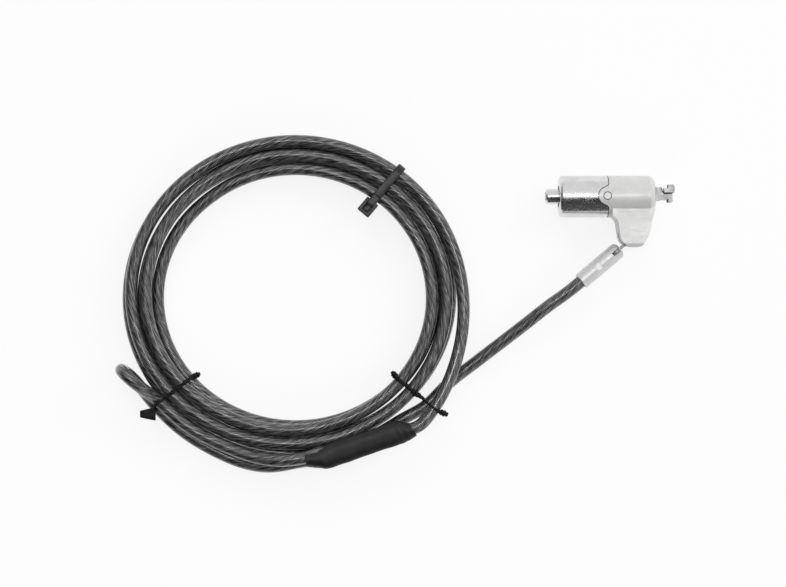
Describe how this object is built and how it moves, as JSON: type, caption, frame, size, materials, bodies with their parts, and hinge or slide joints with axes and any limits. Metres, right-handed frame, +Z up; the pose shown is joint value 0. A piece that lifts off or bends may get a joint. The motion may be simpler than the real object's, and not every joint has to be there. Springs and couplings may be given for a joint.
{
  "type": "laptop cable lock",
  "caption": "keyed laptop cable lock: round push-to-lock head with a hooked security tip, a fin and link, and a jacketed steel cable tied in a flat coil with a crimped loop at its far end",
  "frame": {"origin": "centre of the lock head and link's bounding box, on the surface it rests on; the coiled cable lies to the -X side", "axes": "+X along the lock body to the security tip; +Y away from the fin; +Z up"},
  "size_m": [0.2009, 0.1215, 0.0227],
  "materials": {
    "polished_chrome": "polished chrome plate",
    "satin_nickel": "satin nickel plate",
    "ferrule_nickel": "satin plate with fine turning marks",
    "pin_steel": "ground pin end",
    "dark_steel": "dark oiled steel",
    "bright_steel": "machined steel",
    "tip_steel": "hardened, tumbled steel",
    "disc_brass": "stamped brass",
    "crimp_aluminium": "pressed aluminium",
    "cable_jacket": "smoky clear jacket over twisted steel strands",
    "sleeve_black": "matt heat-shrink tube",
    "tie_black": "moulded nylon",
    "twist_black": "plastic-coated wire tie"
  },
  "bodies": {
    "cable": {"ferrule": "ferrule_nickel", "ferrule_pin": "pin_steel", "cable_lead": "cable_jacket", "cable_coil": "cable_jacket", "cable_loop": "cable_jacket", "loop_crimp": "crimp_aluminium", "shrink_sleeve": "sleeve_black", "zip_tie": "tie_black", "twist_tie_left": "twist_black", "twist_tie_right": "twist_black"},
    "link": {"link": "tip_steel"},
    "head": {"front_housing": "satin_nickel", "rear_barrel": "polished_chrome", "barrel_pins": "pin_steel", "lock_stator": "dark_steel", "nose_post": "tip_steel", "jaw_pin": "pin_steel", "fin_pin": "pin_steel", "return_spring": "bright_steel"},
    "plug": {"plug_shell": "polished_chrome", "plug_base": "bright_steel", "push_rod": "bright_steel"},
    "rotor": {"core_rotor": "polished_chrome", "lock_discs": "disc_brass", "disc_spacers": "bright_steel", "sidebar": "bright_steel", "cam_plate": "bright_steel"},
    "latch": {"latch_bolt": "bright_steel"},
    "jaw": {"upper_jaw": "tip_steel"}
  },
  "joints": [
    {"name": "ferrule_fold", "type": "hinge", "parent": "cable", "child": "link", "pos_m": [0.00225, -0.01285, 0.0075], "axis": [0.6441, -0.7649, 0], "range_deg": [-35, 35]},
    {"name": "fin_pivot", "type": "hinge", "parent": "link", "child": "head", "pos_m": [0.00715, -0.00873, 0.0075], "axis": [0, 0, 1], "range_deg": [-80, 36]},
    {"name": "plug_push", "type": "slide", "parent": "head", "child": "plug", "axis": [1, 0, 0], "range_m": [0, 0.0036], "stiffness_N_per_m": 300, "springref_m": -0.003, "deforming": ["return_spring"]},
    {"name": "key_turn", "type": "hinge", "parent": "plug", "child": "rotor", "pos_m": [-0.0186, 0.00687, 0.0075], "axis": [1, 0, 0], "range_deg": [0, 90]},
    {"name": "latch_slide", "type": "slide", "parent": "plug", "child": "latch", "axis": [0, 1, 0], "range_m": [0, 0.0005]},
    {"name": "jaw_lift", "type": "hinge", "parent": "head", "child": "jaw", "pos_m": [0.01865, 0.00782, 0.0075], "axis": [0, 0, 1], "range_deg": [0, 14]}
  ],
  "couplings": [
    {"joint": "jaw_lift", "follows": "plug_push", "rad_per_m": 67.87},
    {"joint": "latch_slide", "follows": "key_turn", "m_per_rad": 0.0003182}
  ]
}
